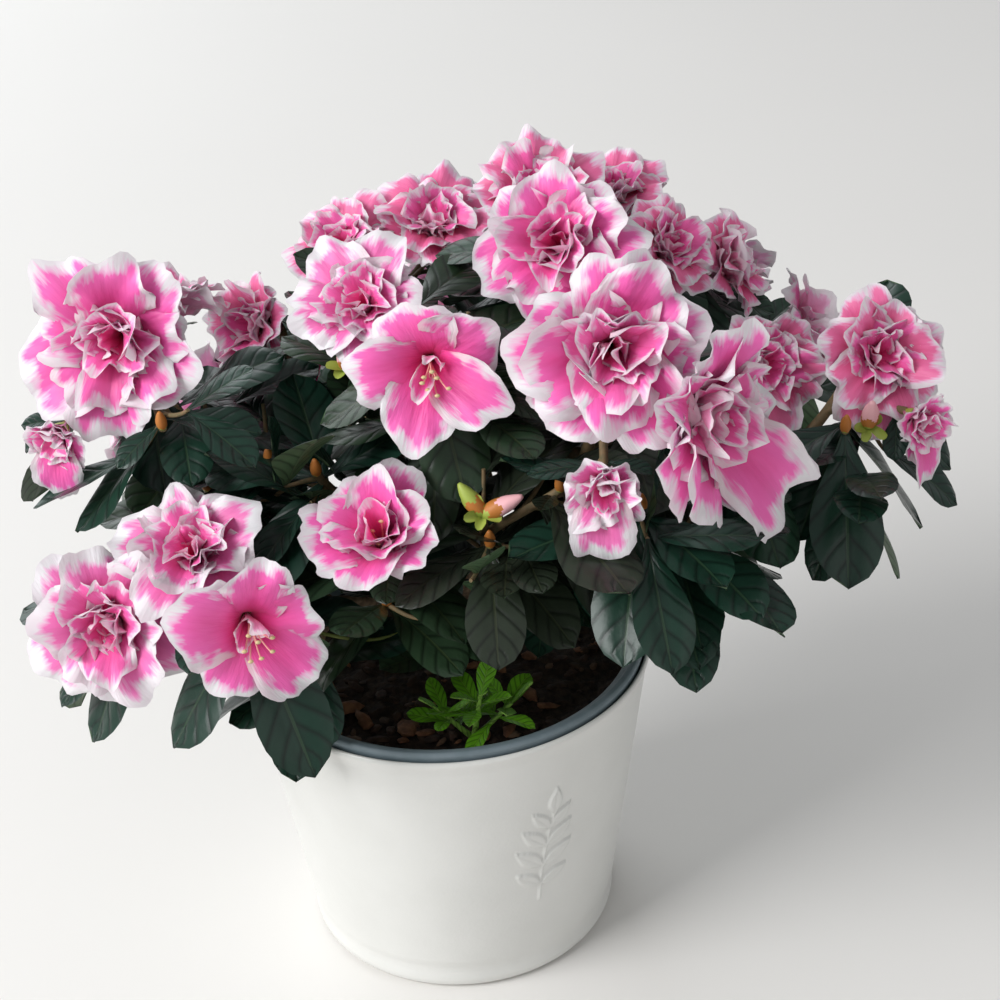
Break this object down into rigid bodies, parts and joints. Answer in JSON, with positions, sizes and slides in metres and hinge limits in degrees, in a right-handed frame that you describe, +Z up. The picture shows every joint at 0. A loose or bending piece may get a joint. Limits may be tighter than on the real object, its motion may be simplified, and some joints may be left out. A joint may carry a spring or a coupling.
{
  "type": "azalea shrub in planter",
  "caption": "Flowering azalea shrub with ruffled pink, white-edged double blooms and dark leaves, standing in a cream tin planter with a grey liner pot.",
  "frame": {"origin": "centre of the planter's flat underside, on the surface the planter stands on", "axes": "+Z up the planter's axis, +X to the right and +Y away from the viewer, seen from the side that the picture shows"},
  "size_m": [0.3161, 0.2295, 0.2868],
  "materials": {
    "tin": "satin warm off-white enamel",
    "liner": "matt slate grey",
    "soil": "moist dark compost with bark chips",
    "bark": "thin ridged brown bark",
    "leaf": "dark green, waxy sheen",
    "young_leaf": "fresh bright green, soft sheen",
    "petal": "pink with ruffled white edges, velvety",
    "bud": "yellow-green scales with pink tips"
  },
  "bodies": {
    "root": {"tin_planter": "tin", "liner_pot": "liner", "soil": "soil", "trunk": "bark", "top_bough": "bark", "front_bough": "bark", "right_bough": "bark", "left_bough": "bark", "back_bough": "bark", "low_left_bough": "bark", "back_right_bough": "bark", "back_left_bough": "bark", "right_middle_branch": "bark", "high_right_branch": "bark", "centre_branch": "bark", "left_top_branch": "bark", "high_left_branch": "bark", "left_middle_branch": "bark", "low_front_branch": "bark", "low_centre_branch": "bark", "shoot_branch": "bark", "low_right_branch": "bark", "right_side_branch": "bark", "left_side_branch": "bark", "inner_left_branch": "bark", "inner_right_branch": "bark", "young_shoot": "young_leaf", "front_crest_spray": "leaf", "high_crown_spray": "leaf", "high_right_spray": "leaf", "right_middle_spray": "leaf", "right_end_spray": "leaf", "centre_front_spray": "leaf", "left_top_spray": "leaf", "high_left_spray": "leaf", "left_end_spray": "leaf", "left_middle_spray": "leaf", "low_left_spray": "leaf", "low_front_spray": "leaf", "low_centre_spray": "leaf", "front_shoots_spray": "leaf", "low_right_spray": "leaf", "back_right_spray": "leaf", "back_middle_spray": "leaf", "back_left_spray": "leaf", "right_side_spray": "leaf", "left_side_spray": "leaf", "inner_left_spray": "leaf", "inner_right_spray": "leaf"}
  },
  "joints": []
}
